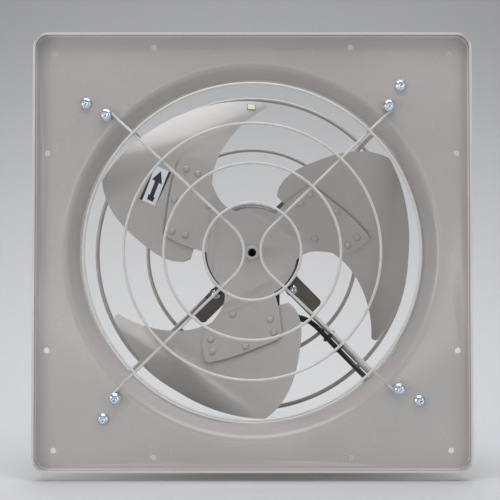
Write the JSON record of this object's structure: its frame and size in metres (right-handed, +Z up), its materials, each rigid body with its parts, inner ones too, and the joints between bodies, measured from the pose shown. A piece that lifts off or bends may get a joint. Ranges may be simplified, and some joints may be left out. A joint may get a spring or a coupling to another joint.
{
  "type": "panel-mounted exhaust fan",
  "caption": "Square panel wall or hood exhaust fan: bell mouth, wire guard, riveted blades on a pressed hub, caged motor behind, flying cable.",
  "frame": {"origin": "centre of the four corner mounting holes, in the plane of the panel's back face", "axes": "+X right and +Z up as seen from the outlet side, +Y back along the fan's axis towards the motor"},
  "size_m": [0.504, 0.2666, 0.504],
  "materials": {
    "panel_paint": "warm light grey baked paint, semi-matt",
    "rotor_paint": "light grey baked paint on pressed sheet, semi-matt",
    "guard_coat": "pale grey coating on drawn wire",
    "cage_coat": "pale grey coating on drawn rod",
    "zinc": "bright bluish zinc plating",
    "bracket_paint": "brown-black semi-gloss paint",
    "motor_paint": "black semi-gloss paint",
    "rubber": "black moulded rubber",
    "black_plastic": "black moulded plastic",
    "cable_jacket": "black flexible cable jacket",
    "core_insulation": "coloured conductor insulation",
    "core_steel": "stacked electrical steel",
    "copper": "enamelled copper wire",
    "cast_aluminium": "die-cast aluminium",
    "bearing_steel": "ground steel",
    "capacitor_case": "grey plastic can",
    "plate_metal": "plain anodised plate",
    "label_film": "white printed film",
    "tab_film": "pale yellow adhesive film on a small weight"
  },
  "bodies": {
    "frame": {"bearing_outer_races": "bearing_steel", "bracket_bushes": "rubber", "bracket_nuts": "zinc", "bracket_screws": "zinc", "cable_coil": "cable_jacket", "cable_cores": "core_insulation", "cable_gland": "black_plastic", "cable_lead": "cable_jacket", "cable_tail": "cable_jacket", "cage_leg_1": "cage_coat", "cage_leg_2": "cage_coat", "cage_leg_3": "cage_coat", "cage_leg_4": "cage_coat", "cage_nuts": "zinc", "cage_ring_inner": "cage_coat", "cage_ring_outer": "cage_coat", "cage_screws": "zinc", "cage_washers": "zinc", "coil_tie": "black_plastic", "guard_nuts": "zinc", "guard_ring_1": "guard_coat", "guard_ring_2": "guard_coat", "guard_ring_3": "guard_coat", "guard_ring_4": "guard_coat", "guard_screws": "zinc", "guard_spoke_left": "guard_coat", "guard_spoke_right": "guard_coat", "guard_washers": "zinc", "leg_ties": "black_plastic", "motor_bracket": "bracket_paint", "motor_flange": "bracket_paint", "motor_front_shield": "motor_paint", "motor_rear_shield": "motor_paint", "motor_shell": "motor_paint", "panel": "panel_paint", "rating_plate": "plate_metal", "run_capacitor": "capacitor_case", "stator_core": "core_steel", "stator_windings": "copper", "terminal_block": "black_plastic", "terminal_box": "black_plastic", "terminal_gasket": "rubber", "terminal_lid": "black_plastic", "terminal_lid_screws": "zinc", "through_bolts": "zinc"},
    "rotor": {"rotor_core": "core_steel", "rotor_end_rings": "cast_aluminium", "shaft": "bearing_steel", "bearing_inner_races": "bearing_steel", "bearing_balls": "bearing_steel", "shaft_slinger": "rubber", "hub_spider": "rotor_paint", "hub_boss": "rotor_paint", "hub_set_screws": "bearing_steel", "blade_1": "rotor_paint", "blade_2": "rotor_paint", "blade_3": "rotor_paint", "blade_rivets": "rotor_paint", "direction_label": "label_film", "balance_tab": "tab_film"}
  },
  "joints": [
    {"name": "fan_spin", "type": "hinge", "parent": "frame", "child": "rotor", "pos_m": [0, 0.09, 0], "axis": [0, 1, 0], "continuous": true}
  ]
}
